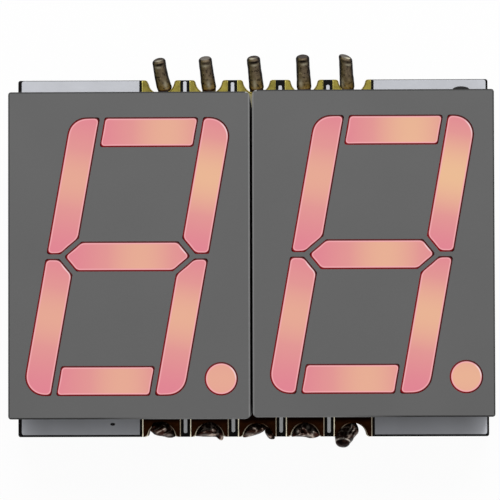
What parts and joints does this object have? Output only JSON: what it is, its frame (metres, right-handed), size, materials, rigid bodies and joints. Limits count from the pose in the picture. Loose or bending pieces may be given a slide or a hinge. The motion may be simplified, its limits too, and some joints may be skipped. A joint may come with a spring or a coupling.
{
  "type": "two-digit led display",
  "caption": "Seven-segment LED display with side-by-side grey light-shaft housings on one circuit board, plated half-holes and short wire pins along both long edges.",
  "frame": {"origin": "middle of the circuit board's back face", "axes": "+X along the row of digits, +Y to the top of the digits, +Z out of the face towards the viewer"},
  "size_m": [0.025, 0.0211, 0.008],
  "materials": {
    "grey_moulding": "fine matt moulded face",
    "lit_diffuser": "translucent, lit from behind",
    "black_laminate": "glass-filled laminate, sawn edges",
    "white_lacquer": "printed, satin",
    "dark_lacquer": "printed, satin",
    "gold_land": "gold plated over copper, tarnished",
    "tinned_wire": "tinned copper, dull and stained",
    "solder": "old soft solder with flux stains",
    "red_die": "cut crystal",
    "gold_wire": "drawn gold"
  },
  "bodies": {
    "root": {"circuit_board": "black_laminate", "front_lacquer": "white_lacquer", "back_lacquer": "dark_lacquer", "left_housing": "grey_moulding", "left_segment_a": "lit_diffuser", "left_segment_b": "lit_diffuser", "left_segment_c": "lit_diffuser", "left_segment_d": "lit_diffuser", "left_segment_e": "lit_diffuser", "left_segment_f": "lit_diffuser", "left_segment_g": "lit_diffuser", "left_decimal_point": "lit_diffuser", "left_die_pads": "gold_land", "left_dice": "red_die", "left_bond_wires": "gold_wire", "right_housing": "grey_moulding", "right_segment_a": "lit_diffuser", "right_segment_b": "lit_diffuser", "right_segment_c": "lit_diffuser", "right_segment_d": "lit_diffuser", "right_segment_e": "lit_diffuser", "right_segment_f": "lit_diffuser", "right_segment_g": "lit_diffuser", "right_decimal_point": "lit_diffuser", "right_die_pads": "gold_land", "right_dice": "red_die", "right_bond_wires": "gold_wire", "top_land_1": "gold_land", "top_wire_1": "tinned_wire", "top_solder_1": "solder", "top_land_2": "gold_land", "top_wire_2": "tinned_wire", "top_solder_2": "solder", "top_land_3": "gold_land", "top_wire_3": "tinned_wire", "top_solder_3": "solder", "top_land_4": "gold_land", "top_wire_4": "tinned_wire", "top_solder_4": "solder", "top_land_5": "gold_land", "top_wire_5": "tinned_wire", "top_solder_5": "solder", "bottom_land_1": "gold_land", "bottom_wire_1": "tinned_wire", "bottom_solder_1": "solder", "bottom_land_2": "gold_land", "bottom_wire_2": "tinned_wire", "bottom_solder_2": "solder", "bottom_land_3": "gold_land", "bottom_wire_3": "tinned_wire", "bottom_solder_3": "solder", "bottom_land_4": "gold_land", "bottom_wire_4": "tinned_wire", "bottom_solder_4": "solder", "bottom_land_5": "gold_land", "bottom_wire_5": "tinned_wire", "bottom_solder_5": "solder"}
  },
  "joints": []
}
